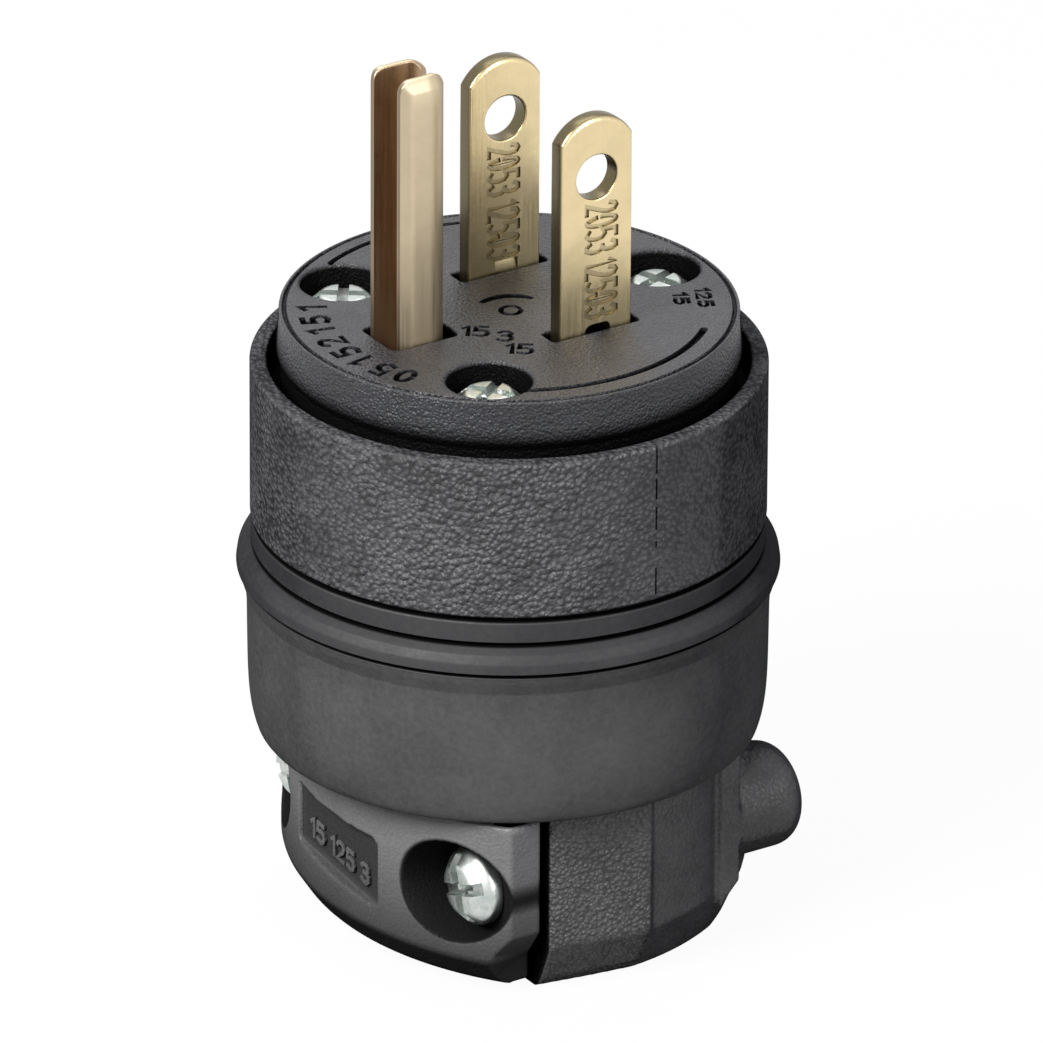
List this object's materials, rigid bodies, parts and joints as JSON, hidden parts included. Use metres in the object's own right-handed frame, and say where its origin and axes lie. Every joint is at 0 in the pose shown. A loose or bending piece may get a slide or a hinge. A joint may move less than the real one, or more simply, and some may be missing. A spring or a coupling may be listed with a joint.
{
  "type": "type b plug",
  "caption": "Round rewireable mains plug with flat blades, a U-section earth pin, a rubber grip collar and a screw-down cord clamp; the cord is not fitted.",
  "frame": {"origin": "centre of the mating face, on the axis of the round body", "axes": "+Z out of the face along the blades, +X from the earth pin towards the blades, +Y towards the live blade; the body goes down -Z"},
  "size_m": [0.0412, 0.0412, 0.0707],
  "materials": {
    "face_plastic": "fine spark-eroded black moulding",
    "carrier_plastic": "plain black moulding",
    "shell_plastic": "coarse pebble-grained black moulding",
    "grip_rubber": "smooth matte black rubber",
    "saddle_plastic": "smooth satin black moulding",
    "blade_brass": "bright stamped brass",
    "earth_brass": "dull folded brass",
    "brass_screw": "turned brass",
    "zinc_screw": "bright zinc plate",
    "green_screw": "green dyed steel"
  },
  "bodies": {
    "root": {"front_face": "face_plastic", "terminal_carrier": "carrier_plastic", "shell": "shell_plastic", "grip_collar": "grip_rubber", "clamp_saddle": "saddle_plastic", "live_blade": "blade_brass", "neutral_blade": "blade_brass", "ground_pin": "earth_brass", "live_screw": "brass_screw", "neutral_screw": "zinc_screw", "ground_screw": "green_screw", "live_plate": "brass_screw", "neutral_plate": "zinc_screw", "ground_plate": "zinc_screw", "face_screw_right": "zinc_screw", "face_screw_front": "zinc_screw", "face_screw_back": "zinc_screw", "clamp_screw_front": "zinc_screw", "clamp_screw_back": "zinc_screw", "clamp_insert_front": "brass_screw", "clamp_insert_back": "brass_screw"}
  },
  "joints": []
}
